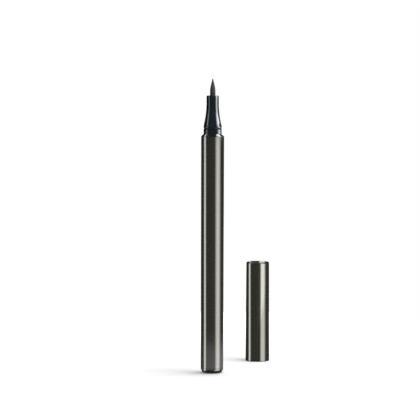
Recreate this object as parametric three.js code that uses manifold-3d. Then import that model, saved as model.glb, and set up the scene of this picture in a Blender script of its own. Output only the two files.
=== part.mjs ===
// A felt-tip eyebrow pen standing on its foot, with its cap taken off and standing beside it.
// Millimetres, +Z up along the pen, +X to the cap's side, origin at the middle of the foot.
import * as THREE from "three";
import { mergeVertices } from "three/addons/utils/BufferGeometryUtils.js";
import Module from "manifold-3d";

const wasm = await Module();
wasm.setup();

// Barrel, a tube with a slight draft that is also the ink tank
const BARREL_LENGTH = 101.15;
const BARREL_FRONT_DIAMETER = 10.0;
const BARREL_REAR_DIAMETER = 9.83;
const BARREL_BORE = 8.0;
const BARREL_EDGE = 0.12;

// End plug, whose rounded head is the foot
const FOOT_HEIGHT = 2.2;
const FOOT_ROUND_REACH = 2.2;
const FOOT_ROUND_HEIGHT = 1.6;
const PLUG_LENGTH = 8.0;
const PLUG_FLOOR = 2.4;

// Mixing balls, side by side in the end plug's pocket
const BALL_DIAMETER = 2.6;
const BALL_CLEARANCE = 0.2;

// Press fits of the end plug and the nozzle in the barrel
const PRESS_CLEARANCE = 0.05;
const PRESS_RIB_HEIGHT = 0.03;
const PRESS_RIB_WIDTH = 0.8;
const PRESS_BEVEL = 0.4;

// Nozzle, the front section that the cap goes over
const SPIGOT_LENGTH = 9.0;
const FLANGE_STEP = 0.05;
const FLANGE_HEIGHT = 0.15;
const CHAMFER_HEIGHT = 0.9;
const SEAT_DIAMETER = 7.85;
const SEAT_LENGTH = 3.0;
const GROOVE_WIDTH = 0.6;
const GROOVE_DEPTH = 0.16;
const GROOVE_BELOW_SEAT_TOP = 0.65;
const FLARE_LENGTH = 10.1;
const FLARE_SHOULDER = 1.7;
const FLARE_HOLLOW = 5.8;
const FLARE_HOLLOW_SWELL = 0.06;
const NOSE_LENGTH = 3.55;
const NOSE_REAR_DIAMETER = 5.4;
const NOSE_FRONT_DIAMETER = 5.36;
const NOSE_ROUND = 0.2;

// Nib, a felt rod ground to a point
const NIB_DIAMETER = 2.38;
const NIB_EXPOSED = 7.35;
const NIB_HELD = 11.0;
const NIB_STRAIGHT = 1.85;
const NIB_SHOULDER = 1.8;
const NIB_POINT_WIDTH = 1.5;
const NIB_POINT_HEIGHT = 2.55;
const NIB_TIP_ROUND = 0.2;
const NIB_CLEARANCE = 0.1;

// Nib holder, a sleeve with air grooves along its outside
const NIB_GUIDE_LENGTH = 5.0;
const HOLDER_WALL = 0.6;
const HOLDER_CLEARANCE = 0.05;
const HOLDER_GRIP = 0.04;
const AIR_GROOVES = 4;
const AIR_GROOVE_WIDTH = 0.5;
const AIR_GROOVE_DEPTH = 0.25;

// Feed rod and collector
const ROD_DIAMETER = 2.0;
const ROD_CLEARANCE = 0.08;
const ROD_OUTREACH = 1.5;
const NECK_LENGTH = 6.5;
const NECK_WALL = 1.2;
const CORE_WALL = 0.8;
const FIN_COUNT = 12;
const FIN_THICKNESS = 0.8;
const FIN_SPACING = 1.6;
const FIN_CLEARANCE = 0.15;
const INTAKE_LENGTH = 4.0;
const AIR_SLOT_WIDTH = 0.7;

// Gap that touching ends keep
const END_GAP = 0.1;

// Cap, standing mouth down beside the pen
const CAP_X = 20.6;
const CAP_Y = 38.0;
const CAP_LENGTH = 44.95;
const CAP_WALL = 0.85;
const CAP_TAPER = 0.43;
const CAP_END_WALL = 1.4;
const CAP_END_ROUND = 0.6;
const CAP_RIM_ROUND = 0.12;

// Cap liner, the sleeve with the snap bead that clips over the nozzle's seat
const CAP_CLEARANCE = 0.075;
const LINER_WALL = 0.45;
const LINER_RECESS = 0.6;
const LINER_LIP_REACH = 0.5;
const LINER_LIP_HEIGHT = 1.0;
const BEAD_HEIGHT = 0.12;
const BEAD_WIDTH = 0.5;

// Inner cap, sprung against the nozzle's front face
const INNER_CAP_STROKE = 1.5;
const INNER_CAP_OVERLAP = 1.8;
const INNER_CAP_RUNNING_GAP = 0.2;
const INNER_CAP_WALL = 0.55;
const INNER_CAP_FLANGE = 1.0;
const INNER_CAP_END = 0.9;
const NOSE_GAP = 0.15;
const NIB_HEADROOM = 1.0;
const NIB_SIDE_ROOM = 0.55;
const GUIDE_RIBS = 4;
const GUIDE_RIB_WIDTH = 0.8;
const SEAL_HEIGHT = 0.8;
const SEAL_GAP = 0.05;

// Spring between the inner cap and the cap's closed end
const SPRING_WIRE = 0.5;
const SPRING_TURNS = 9;
const SPRING_FLAT_TURNS = 0.5;
const SPRING_PEG_DIAMETER = 3.0;
const SPRING_PEG_HEIGHT = 2.5;
const SPRING_PEG_GAP = 0.35;

// Fineness of the solids
const SHELL_SIDES = 32;
const CORE_SIDES = 20;
const BALL_RINGS = 10;
const ROUND_STEPS = 4;
const CURVE_STEPS = 8;
const WIRE_SIDES = 5;
const STEPS_PER_TURN = 8;

// How far a cutting block stands past what it cuts, and how close two points are one
const CUT_SPARE = 1.0;
const SAME_POINT = 1e-3;

// Levels up the pen
const plugTop = FOOT_HEIGHT + PLUG_LENGTH;
const barrelFront = FOOT_HEIGHT + BARREL_LENGTH;
const spigotRear = barrelFront - SPIGOT_LENGTH;
const flangeTop = barrelFront + FLANGE_HEIGHT;
const chamferTop = flangeTop + CHAMFER_HEIGHT;
const seatTop = chamferTop + SEAT_LENGTH;
const groove = seatTop - GROOVE_BELOW_SEAT_TOP;
const flareTop = seatTop + FLARE_LENGTH;
const nozzleFace = flareTop + NOSE_LENGTH;
const nibTip = nozzleFace + NIB_EXPOSED;
const nibRear = nozzleFace - NIB_HELD;
const neckTop = spigotRear + NECK_LENGTH;
const socketTop = neckTop + END_GAP;
const holderTop = nozzleFace - NIB_GUIDE_LENGTH;
const finsBottom = spigotRear - FIN_COUNT * (FIN_THICKNESS + FIN_SPACING);
const intakeBottom = finsBottom - INTAKE_LENGTH;
const rodBottom = intakeBottom - ROD_OUTREACH;

// Radii of the pen's fits
const boreRadius = BARREL_BORE / 2;
const spigotRadius = boreRadius - PRESS_CLEARANCE;
const flangeRadius = BARREL_FRONT_DIAMETER / 2 - FLANGE_STEP;
const seatRadius = SEAT_DIAMETER / 2;
const noseRadius = NOSE_FRONT_DIAMETER / 2;
const nibRadius = NIB_DIAMETER / 2;
const nibBoreRadius = nibRadius + NIB_CLEARANCE;
const holderInside = nibRadius + HOLDER_GRIP;
const holderOutside = holderInside + HOLDER_WALL;
const holderBoreRadius = holderOutside + HOLDER_CLEARANCE;
const rodRadius = ROD_DIAMETER / 2;
const rodBoreRadius = rodRadius + ROD_CLEARANCE;
const neckRadius = rodBoreRadius + NECK_WALL;
const socketRadius = neckRadius + PRESS_CLEARANCE;
const coreRadius = rodBoreRadius + CORE_WALL;
const finRadius = boreRadius - FIN_CLEARANCE;
const ballRadius = BALL_DIAMETER / 2;
const pocketRadius = (2 * BALL_DIAMETER + 3 * BALL_CLEARANCE) / 2;

// Radii of the cap's fits, from the nozzle's seat outwards
const linerInside = seatRadius + CAP_CLEARANCE;
const linerOutside = linerInside + LINER_WALL;
const capBoreRadius = linerOutside + PRESS_CLEARANCE;
const capMouthRadius = capBoreRadius + CAP_WALL;
const capEndRadius = capMouthRadius - CAP_TAPER / 2;
const innerCapMouth = noseRadius + NOSE_GAP;
const innerCapOutside = innerCapMouth + INNER_CAP_WALL;
const innerCapGuide = capBoreRadius - INNER_CAP_RUNNING_GAP;
const nibRoomRadius = nibRadius + NIB_SIDE_ROOM;
const springRadius = SPRING_PEG_DIAMETER / 2 + SPRING_PEG_GAP + SPRING_WIRE / 2;

// Levels up the cap from its rim. On the pen, the mouth of the cap's bore sits on the nozzle's chamfer.
const chamferShare = (flangeRadius - capBoreRadius) / (flangeRadius - seatRadius);
const rimOnPen = flangeTop + CHAMFER_HEIGHT * chamferShare;
const capCeiling = CAP_LENGTH - CAP_END_WALL;
const bead = groove - rimOnPen;
const sealBottom = nozzleFace - rimOnPen - INNER_CAP_STROKE;
const sealTop = sealBottom + SEAL_HEIGHT;
const innerCapBottom = sealBottom - INNER_CAP_OVERLAP;
const innerCapFlangeTop = innerCapBottom + INNER_CAP_FLANGE;
const nibRoomTop = sealBottom + NIB_EXPOSED + NIB_HEADROOM;
const innerCapTop = nibRoomTop + INNER_CAP_END;
const linerTop = innerCapBottom - END_GAP;
const linerLip = linerTop - LINER_LIP_HEIGHT;

const at = (radius, z) => new THREE.Vector2(radius, z);
const radians = THREE.MathUtils.degToRad;

// Points of a round corner about a centre, from one angle to another in degrees. A height of its own makes
// the corner a quarter of an ellipse.
function corner(radius, z, round, from, to, height = round) {
  const turned = new THREE.EllipseCurve(radius, z, round, height, radians(from), radians(to));
  return turned.getPoints(ROUND_STEPS);
}

// Points of a smooth curve from start to end, pulled by two handles.
function sweep(start, startHandle, endHandle, end) {
  return new THREE.CubicBezierCurve(start, startHandle, endHandle, end).getPoints(CURVE_STEPS);
}

// A solid turned about the Z axis from an outline of radius and height.
function turned(outline, sides = SHELL_SIDES) {
  return new THREE.LatheGeometry(outline, sides).rotateX(Math.PI / 2);
}

// A turned ring or tube, whose outline is closed on itself.
function turnedRing(outline, sides = SHELL_SIDES) {
  return turned([...outline, outline[0].clone()], sides);
}

function asSolid(geometry) {
  const bare = geometry.clone();
  bare.deleteAttribute("normal");
  bare.deleteAttribute("uv");
  const merged = mergeVertices(bare, SAME_POINT);
  const mesh = new wasm.Mesh({
    numProp: 3,
    vertProperties: merged.attributes.position.array,
    triVerts: new Uint32Array(merged.index.array),
  });
  return new wasm.Manifold(mesh);
}

function asGeometry(solid) {
  const mesh = solid.getMesh();
  const geometry = new THREE.BufferGeometry();
  geometry.setAttribute("position", new THREE.BufferAttribute(mesh.vertProperties, 3));
  geometry.setIndex(new THREE.BufferAttribute(mesh.triVerts, 1));
  geometry.computeVertexNormals();
  return geometry;
}

// A block that runs out from the axis between two radii and two levels, turned about Z.
function spoke(inner, outer, width, bottom, top, angle) {
  const block = new THREE.BoxGeometry(outer - inner, width, top - bottom);
  block.translate((inner + outer) / 2, 0, (bottom + top) / 2);
  return asSolid(block.rotateZ(angle));
}

// The outside of a press-fitted spigot between two levels, with one low crush rib in the middle.
function pressedSide(bottom, top) {
  const middle = (bottom + top) / 2;
  return [
    at(spigotRadius, bottom),
    at(spigotRadius, middle - PRESS_RIB_WIDTH / 2),
    at(spigotRadius + PRESS_RIB_HEIGHT, middle),
    at(spigotRadius, middle + PRESS_RIB_WIDTH / 2),
    at(spigotRadius, top),
  ];
}

function barrel() {
  const front = BARREL_FRONT_DIAMETER / 2;
  const rear = BARREL_REAR_DIAMETER / 2;
  return turnedRing([
    at(boreRadius, FOOT_HEIGHT),
    at(rear - BARREL_EDGE, FOOT_HEIGHT),
    at(rear, FOOT_HEIGHT + BARREL_EDGE),
    at(front, barrelFront - BARREL_EDGE),
    at(front - BARREL_EDGE, barrelFront),
    at(boreRadius, barrelFront),
  ]);
}

function endPlug() {
  const head = BARREL_REAR_DIAMETER / 2;
  return turned([
    at(0, 0),
    ...corner(head - FOOT_ROUND_REACH, FOOT_ROUND_HEIGHT, FOOT_ROUND_REACH, -90, 0, FOOT_ROUND_HEIGHT),
    at(head, FOOT_HEIGHT - BARREL_EDGE),
    at(head - BARREL_EDGE, FOOT_HEIGHT),
    ...pressedSide(FOOT_HEIGHT, plugTop - PRESS_BEVEL),
    at(spigotRadius - PRESS_BEVEL / 2, plugTop),
    at(pocketRadius, plugTop),
    at(pocketRadius, PLUG_FLOOR),
    at(0, PLUG_FLOOR),
  ]);
}

function mixingBall(side) {
  const ball = new THREE.SphereGeometry(ballRadius, CORE_SIDES, BALL_RINGS).rotateX(Math.PI / 2);
  const apart = ballRadius + BALL_CLEARANCE / 2;
  return ball.translate(side * apart, 0, PLUG_FLOOR + ballRadius + END_GAP);
}

function nozzle() {
  const seat = at(seatRadius, seatTop);
  const shoulder = at(seatRadius, seatTop + FLARE_SHOULDER);
  const noseRear = NOSE_REAR_DIAMETER / 2;
  const hollow = at(noseRear + FLARE_HOLLOW_SWELL, flareTop - FLARE_HOLLOW);
  return turnedRing([
    at(socketRadius, spigotRear),
    at(spigotRadius - PRESS_BEVEL / 2, spigotRear),
    ...pressedSide(spigotRear + PRESS_BEVEL, barrelFront),
    at(flangeRadius, barrelFront),
    at(flangeRadius, flangeTop),
    at(seatRadius, chamferTop),
    at(seatRadius, groove - GROOVE_WIDTH / 2),
    at(seatRadius - GROOVE_DEPTH, groove),
    at(seatRadius, groove + GROOVE_WIDTH / 2),
    ...sweep(seat, shoulder, hollow, at(noseRear, flareTop)),
    ...corner(noseRadius - NOSE_ROUND, nozzleFace - NOSE_ROUND, NOSE_ROUND, 0, 90),
    at(nibBoreRadius, nozzleFace),
    at(nibBoreRadius, holderTop),
    at(holderBoreRadius, holderTop),
    at(holderBoreRadius, socketTop),
    at(socketRadius, socketTop),
  ]);
}

function nib() {
  const start = at(nibRadius, nozzleFace + NIB_STRAIGHT);
  const shoulder = at(nibRadius, nozzleFace + NIB_STRAIGHT + NIB_SHOULDER);
  const tipStart = nibTip - NIB_TIP_ROUND;
  const point = at(NIB_POINT_WIDTH / 2, tipStart - NIB_POINT_HEIGHT);
  const side = sweep(start, shoulder, point, at(NIB_TIP_ROUND, tipStart));
  const tip = corner(0, tipStart, NIB_TIP_ROUND, 0, 90).slice(1, -1);
  return turned([at(0, nibRear), at(nibRadius, nibRear), ...side, ...tip, at(0, nibTip)], CORE_SIDES);
}

function nibHolder() {
  const bottom = socketTop;
  const top = holderTop - END_GAP;
  const sleeve = turnedRing(
    [at(holderInside, bottom), at(holderOutside, bottom), at(holderOutside, top), at(holderInside, top)],
    CORE_SIDES,
  );
  let grooved = asSolid(sleeve);
  const grooveFloor = holderOutside - AIR_GROOVE_DEPTH;
  const past = holderOutside + CUT_SPARE;
  for (let i = 0; i < AIR_GROOVES; i++) {
    const angle = (2 * Math.PI * i) / AIR_GROOVES;
    const cut = spoke(grooveFloor, past, AIR_GROOVE_WIDTH, bottom - CUT_SPARE, top + CUT_SPARE, angle);
    grooved = grooved.subtract(cut);
  }
  return asGeometry(grooved);
}

function feedRod() {
  const top = nibRear - END_GAP;
  return turned([at(0, rodBottom), at(rodRadius, rodBottom), at(rodRadius, top), at(0, top)], CORE_SIDES);
}

function collector() {
  const outline = [at(rodBoreRadius, intakeBottom), at(coreRadius, intakeBottom)];
  for (let i = FIN_COUNT; i > 0; i--) {
    const top = spigotRear - (i - 1) * (FIN_THICKNESS + FIN_SPACING);
    outline.push(at(coreRadius, top - FIN_THICKNESS), at(finRadius, top - FIN_THICKNESS));
    outline.push(at(finRadius, top), at(i > 1 ? coreRadius : neckRadius, top));
  }
  outline.push(at(neckRadius, neckTop), at(rodBoreRadius, neckTop));
  const finned = asSolid(turnedRing(outline, CORE_SIDES));
  const slotTop = spigotRear - FIN_THICKNESS - FIN_SPACING / 2;
  const slot = spoke(coreRadius, finRadius + CUT_SPARE, AIR_SLOT_WIDTH, intakeBottom, slotTop, 0);
  return asGeometry(finned.subtract(slot));
}

function capShell() {
  const peg = SPRING_PEG_DIAMETER / 2;
  const rimCentre = capMouthRadius - CAP_RIM_ROUND;
  const endCentre = capEndRadius - CAP_END_ROUND;
  return turned([
    at(0, capCeiling - SPRING_PEG_HEIGHT),
    at(peg, capCeiling - SPRING_PEG_HEIGHT),
    at(peg, capCeiling),
    at(capBoreRadius, capCeiling),
    at(capBoreRadius, 0),
    ...corner(rimCentre, CAP_RIM_ROUND, CAP_RIM_ROUND, -90, 0),
    ...corner(endCentre, CAP_LENGTH - CAP_END_ROUND, CAP_END_ROUND, 0, 90),
    at(0, CAP_LENGTH),
  ]);
}

function capLiner() {
  return turnedRing([
    at(linerInside, bead - BEAD_WIDTH / 2),
    at(linerInside, LINER_RECESS),
    at(linerOutside, LINER_RECESS),
    at(linerOutside, linerTop),
    at(linerInside - LINER_LIP_REACH, linerTop),
    at(linerInside - LINER_LIP_REACH, linerLip),
    at(linerInside, linerLip),
    at(linerInside, bead + BEAD_WIDTH / 2),
    at(linerInside - BEAD_HEIGHT, bead),
  ]);
}

function innerCap() {
  const peg = SPRING_PEG_DIAMETER / 2;
  const cup = turned([
    at(0, nibRoomTop),
    at(nibRoomRadius, nibRoomTop),
    at(nibRoomRadius, sealTop),
    at(innerCapMouth, sealTop),
    at(innerCapMouth, innerCapBottom),
    at(innerCapGuide, innerCapBottom),
    at(innerCapGuide, innerCapFlangeTop),
    at(innerCapOutside, innerCapFlangeTop),
    at(innerCapOutside, innerCapTop),
    at(peg, innerCapTop),
    at(peg, innerCapTop + SPRING_PEG_HEIGHT),
    at(0, innerCapTop + SPRING_PEG_HEIGHT),
  ]);
  let ribbed = asSolid(cup);
  const root = innerCapOutside - INNER_CAP_WALL / 2;
  for (let i = 0; i < GUIDE_RIBS; i++) {
    const angle = (2 * Math.PI * i) / GUIDE_RIBS;
    const level = innerCapFlangeTop - INNER_CAP_FLANGE / 2;
    ribbed = ribbed.add(spoke(root, innerCapGuide, GUIDE_RIB_WIDTH, level, innerCapTop, angle));
  }
  return asGeometry(ribbed);
}

function nibSeal() {
  const outside = innerCapMouth - SEAL_GAP;
  return turnedRing([
    at(nibRoomRadius, sealBottom),
    at(outside, sealBottom),
    at(outside, sealTop),
    at(nibRoomRadius, sealTop),
  ]);
}

// The middle of the spring's wire: a helix whose first and last half turns lie flat on their seats.
class SpringLine extends THREE.Curve {
  getPoint(share, target = new THREE.Vector3()) {
    const turns = share * SPRING_TURNS;
    const climbing = SPRING_TURNS - 2 * SPRING_FLAT_TURNS;
    const climbed = THREE.MathUtils.clamp((turns - SPRING_FLAT_TURNS) / climbing, 0, 1);
    const low = innerCapTop + END_GAP + SPRING_WIRE / 2;
    const high = capCeiling - END_GAP - SPRING_WIRE / 2;
    const angle = 2 * Math.PI * turns;
    const z = THREE.MathUtils.lerp(low, high, climbed);
    return target.set(springRadius * Math.cos(angle), springRadius * Math.sin(angle), z);
  }
}

// The least gap between two stretches of wire that lie more than half a turn apart.
function leastGap(points, wire, pointsPerTurn) {
  let least = Infinity;
  for (let i = 0; i < points.length; i++) {
    for (let j = i + pointsPerTurn / 2; j < points.length; j++) {
      least = Math.min(least, points[i].distanceTo(points[j]) - wire);
    }
  }
  return least;
}

function innerCapSpring() {
  const section = new THREE.Shape(
    Array.from({ length: WIRE_SIDES }, (_, i) => {
      const angle = (2 * Math.PI * i) / WIRE_SIDES;
      return at((SPRING_WIRE / 2) * Math.cos(angle), (SPRING_WIRE / 2) * Math.sin(angle));
    }),
  );
  const line = new SpringLine();
  const steps = SPRING_TURNS * STEPS_PER_TURN;
  const gap = leastGap(line.getPoints(steps), SPRING_WIRE, STEPS_PER_TURN);
  console.log(`inner_cap_spring: least gap between turns ${gap.toFixed(2)} mm`);
  return new THREE.ExtrudeGeometry(section, { steps, extrudePath: line, bevelEnabled: false });
}

const FINISHES = {
  lacquer: { color: 0x31302a, roughness: 0.1, metalness: 0.3 },
  blackGloss: { color: 0x1c2428, roughness: 0.12, metalness: 0 },
  felt: { color: 0x575655, roughness: 0.9, metalness: 0 },
  fibre: { color: 0xb9b3a6, roughness: 0.95, metalness: 0 },
  naturalPlastic: { color: 0xdedbd0, roughness: 0.5, metalness: 0 },
  blackPlastic: { color: 0x2a2a2a, roughness: 0.5, metalness: 0 },
  softSeal: { color: 0x3a3a3c, roughness: 0.8, metalness: 0 },
  steel: { color: 0xb9bbbd, roughness: 0.25, metalness: 1 },
};

function piece(name, geometry, finish) {
  const mesh = new THREE.Mesh(geometry, new THREE.MeshStandardMaterial(FINISHES[finish]));
  mesh.name = name;
  return mesh;
}

const pen = new THREE.Group();
pen.add(
  piece("barrel", barrel(), "lacquer"),
  piece("end_plug", endPlug(), "lacquer"),
  piece("mixing_ball_1", mixingBall(-1), "steel"),
  piece("mixing_ball_2", mixingBall(1), "steel"),
  piece("nozzle", nozzle(), "blackGloss"),
  piece("nib", nib(), "felt"),
  piece("nib_holder", nibHolder(), "blackPlastic"),
  piece("feed_rod", feedRod(), "fibre"),
  piece("collector", collector(), "naturalPlastic"),
);

const cap = new THREE.Group();
cap.position.set(CAP_X, CAP_Y, 0);
cap.add(
  piece("cap_shell", capShell(), "lacquer"),
  piece("cap_liner", capLiner(), "blackPlastic"),
  piece("inner_cap", innerCap(), "naturalPlastic"),
  piece("nib_seal", nibSeal(), "softSeal"),
  piece("inner_cap_spring", innerCapSpring(), "steel"),
);

const eyebrowPen = new THREE.Group();
eyebrowPen.add(pen, cap);

export default eyebrowPen;
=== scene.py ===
"""Builds the looks of a felt-tip eyebrow pen and its cap round their fixed frame, and the stage for them."""
import math

import bmesh
import bpy
from bpy.props import FloatProperty, FloatVectorProperty, IntProperty, PointerProperty
from mathutils import Matrix, Vector, noise


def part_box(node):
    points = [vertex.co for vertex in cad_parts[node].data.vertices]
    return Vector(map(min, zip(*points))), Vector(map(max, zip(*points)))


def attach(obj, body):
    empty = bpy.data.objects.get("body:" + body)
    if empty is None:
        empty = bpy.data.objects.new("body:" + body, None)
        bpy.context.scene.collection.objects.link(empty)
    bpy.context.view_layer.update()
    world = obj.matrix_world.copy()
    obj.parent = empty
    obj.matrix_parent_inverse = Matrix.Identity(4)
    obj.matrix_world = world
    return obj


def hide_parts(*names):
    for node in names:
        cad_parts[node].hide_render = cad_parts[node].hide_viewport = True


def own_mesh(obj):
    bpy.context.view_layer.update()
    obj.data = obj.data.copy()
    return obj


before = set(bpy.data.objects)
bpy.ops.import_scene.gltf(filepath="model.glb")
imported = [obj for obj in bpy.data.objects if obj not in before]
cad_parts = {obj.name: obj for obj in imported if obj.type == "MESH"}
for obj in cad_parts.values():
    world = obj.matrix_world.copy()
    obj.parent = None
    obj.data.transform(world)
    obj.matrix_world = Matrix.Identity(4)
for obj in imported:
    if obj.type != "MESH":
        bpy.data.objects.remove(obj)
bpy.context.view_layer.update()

bl_info = {
    "name": "Eyebrow Pen",
    "version": (1, 0, 0),
    "blender": (4, 5, 0),
    "location": "View3D > Sidebar > Eyebrow Pen",
    "description": "Builds a felt-tip eyebrow pen, its cap and the stage for their picture",
    "category": "Add Mesh",
}

MM = 0.001

# Fineness of the meshes
LATHE_SIDES = 144
SMALL_SIDES = 96
ROD_SIDES = 72
CURVE_STEPS = 32
TIP_STEPS = 8
ARC_STEP = math.radians(10)
NIB_STEP = 0.12 * MM
ROD_STEP = 0.4 * MM
SHARP_ANGLE = math.radians(32)
SAME_POINT = 0.0005 * MM

# How many times nearer to a notch's wall the angles beside it stand than the notch's middle does
NOTCH_TO_WALL = 50

# Width of a fibre's grain, and how many times longer than wide it is
NIB_FIBRE = (0.11 * MM, 9)
ROD_FIBRE = (0.12 * MM, 40)


def length(name, description, millimetres):
    """A size that a user may change, given here in millimetres and kept in metres."""
    return FloatProperty(
        name=name, description=description, default=millimetres * MM, min=0, unit="LENGTH", precision=5
    )


def colour(name, description, red, green, blue):
    """A colour that a user may change, in linear light."""
    return FloatVectorProperty(
        name=name, description=description, default=(red, green, blue), min=0, max=1, subtype="COLOR"
    )


def angle(name, description, degrees):
    """An angle that a user may change, given here in degrees."""
    return FloatProperty(name=name, description=description, default=math.radians(degrees), subtype="ANGLE")


def amount(name, description, value):
    """A plain number that a user may change."""
    return FloatProperty(name=name, description=description, default=value, min=0)


def whole(name, description, value):
    """A whole number that a user may change."""
    return IntProperty(name=name, description=description, default=value, min=1)


def power(name, description, watts):
    """The power of a lamp, which a user may change."""
    return FloatProperty(name=name, description=description, default=watts, min=0, unit="POWER")


class PenSizes(bpy.types.PropertyGroup):
    """Sizes of the pen's pieces that its frame doesn't give."""

    barrel_bore: length("Barrel bore", "Radius of the ink tank in the barrel", 4.0)
    barrel_draft: length("Barrel draft", "How much thinner the barrel's radius is at its rear", 0.085)
    edge_round: length("Edge round", "Round of the barrel's and the plug's edges", 0.07)
    foot_reach: length("Foot reach", "How far the round of the pen's foot reaches in", 2.2)
    foot_rise: length("Foot rise", "How far the round of the pen's foot rises", 1.6)
    gate_radius: length("Gate radius", "Radius of the shallow gate dimple under the foot", 0.7)
    gate_depth: length("Gate depth", "Depth of the gate dimple under the foot", 0.15)
    foot_height: length("Foot height", "Height of the plug's head", 2.2)
    plug_floor: length("Plug floor", "Level of the floor of the plug's pocket", 2.4)
    pocket_radius: length("Pocket radius", "Radius of the plug's pocket", 2.9)
    press_radius: length("Press radius", "Radius of the pressed ends in the barrel", 3.95)
    press_rib: length("Press rib", "Height of the crush rib on a pressed end", 0.03)
    press_rib_width: length("Press rib width", "Width of the crush rib on a pressed end", 0.8)
    press_bevel: length("Press bevel", "Lead-in at the end of a pressed end", 0.4)
    flange_height: length("Flange height", "Height of the nozzle's flange", 0.15)
    chamfer_height: length("Chamfer height", "Height of the nozzle's chamfer", 0.9)
    seat_radius: length("Seat radius", "Radius of the seat that the cap clips over", 3.925)
    seat_length: length("Seat length", "Length of that seat", 3.0)
    groove_width: length("Groove width", "Width of the snap groove", 0.6)
    groove_depth: length("Groove depth", "Depth of the snap groove", 0.16)
    groove_lip: length("Groove lip", "Round of the snap groove's lips", 0.12)
    groove_below: length("Groove below", "How far the snap groove lies below the seat's top", 0.65)
    nozzle_edge: length("Nozzle edge", "Round of the nozzle's other edges", 0.05)
    flare_length: length("Flare length", "Length of the nozzle's flare", 10.1)
    flare_shoulder: length("Flare shoulder", "Pull of the flare's curve at its rear", 1.7)
    flare_hollow: length("Flare hollow", "Pull of the flare's curve at its front", 5.8)
    flare_swell: length("Flare swell", "How far the front pull stands out", 0.06)
    nose_rear: length("Nose rear", "Radius of the nose at its rear", 2.7)
    nose_front: length("Nose front", "Radius of the nose at its front", 2.68)
    nose_round: length("Nose round", "Round of the nose's front edge", 0.2)
    nib_bore: length("Nib bore", "Radius of the bore that guides the nib", 1.29)
    nib_guide: length("Nib guide", "Length of the bore that guides the nib", 5.0)
    holder_bore: length("Holder bore", "Radius of the nozzle's bore round the nib holder", 1.88)
    socket_radius: length("Socket radius", "Radius of the nozzle's socket for the collector", 2.33)
    socket_depth: length("Socket depth", "Depth of that socket", 6.6)
    nib_straight: length("Nib straight", "Length of the nib's straight stretch in front of the nose", 1.85)
    nib_shoulder: length("Nib shoulder", "Pull of the nib's curve at its shoulder", 1.8)
    nib_point_width: length("Nib point width", "Pull of the nib's curve across its point", 0.75)
    nib_point_height: length("Nib point height", "Pull of the nib's curve along its point", 2.55)
    nib_tip_round: length("Nib tip round", "Round of the nib's tip", 0.2)
    nib_grain: length("Nib grain", "Depth of the grain between the nib's fibres", 0.012)
    rod_grain: length("Rod grain", "Depth of the grain between the feed rod's fibres", 0.024)
    holder_inside: length("Holder inside", "Radius of the nib holder's bore", 1.23)
    holder_edge: length("Holder edge", "Round of the nib holder's edges", 0.0625)
    holder_groove_width: length("Air groove width", "Width of the nib holder's air grooves", 0.5)
    holder_groove_depth: length("Air groove depth", "Depth of the nib holder's air grooves", 0.25)
    holder_grooves: whole("Air grooves", "How many air grooves the nib holder has", 4)
    rod_bore: length("Rod bore", "Radius of the collector's bore for the feed rod", 1.08)
    core_radius: length("Core radius", "Radius of the collector between its fins", 1.88)
    neck_radius: length("Neck radius", "Radius of the collector's neck", 2.28)
    neck_length: length("Neck length", "Length of the collector's neck", 6.5)
    fin_count: whole("Fins", "How many fins the collector has", 12)
    fin_thickness: length("Fin thickness", "Thickness of a collector fin", 0.8)
    fin_spacing: length("Fin spacing", "Gap between collector fins", 1.6)
    fin_round: length("Fin round", "Round of a collector fin's edges", 0.12)
    air_slot: length("Air slot", "Width of the slot across the collector's fins", 0.7)


class CapSizes(bpy.types.PropertyGroup):
    """Sizes of the cap's pieces that its frame doesn't give."""

    bore: length("Bore", "Radius of the cap's bore", 4.5)
    taper: length("Taper", "How much thinner the cap's radius is at its closed end", 0.215)
    end_wall: length("End wall", "Thickness of the cap's closed end", 1.4)
    end_round: length("End round", "Round of the closed end's edge", 0.6)
    rim_round: length("Rim round", "Round of the mouth's outer edge", 0.3)
    peg_radius: length("Peg radius", "Radius of the pegs that centre the spring", 1.5)
    peg_height: length("Peg height", "Height of the pegs that centre the spring", 2.5)
    liner_wall: length("Liner wall", "Wall of the snap liner", 0.45)
    lip_reach: length("Lip reach", "How far the liner's lip reaches inwards", 0.5)
    lip_height: length("Lip height", "Height of the liner's lip", 1.0)
    bead_level: length("Bead level", "Level of the snap bead above the rim", 2.855)
    bead_height: length("Bead height", "Height of the snap bead", 0.12)
    bead_width: length("Bead width", "Width of the snap bead", 0.5)
    cup_mouth: length("Cup mouth", "Radius of the inner cap's mouth", 2.83)
    cup_wall: length("Cup wall", "Wall of the inner cap", 0.55)
    cup_flange: length("Cup flange", "Height of the inner cap's flange", 1.0)
    cup_end: length("Cup end", "Thickness of the inner cap's closed end", 0.9)
    cup_edge: length("Cup edge", "Round of the inner cap's edges", 0.11)
    cup_rib_width: length("Cup rib width", "Width of the inner cap's guide ribs", 0.8)
    cup_ribs: whole("Cup ribs", "How many guide ribs the inner cap has", 4)
    nib_room: length("Nib room", "Radius of the room round the nib in the inner cap", 1.74)
    seal_round: length("Seal round", "Round of the seal's lower edges", 0.25)
    wire: length("Wire", "Diameter of the spring's wire", 0.5)
    spring_radius: length("Spring radius", "Radius of the spring at the middle of its wire", 2.1)
    spring_turns: whole("Spring turns", "How many turns the spring has", 9)
    flat_turns: amount("Flat turns", "Turns that lie flat at each end of the spring", 0.5)


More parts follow.
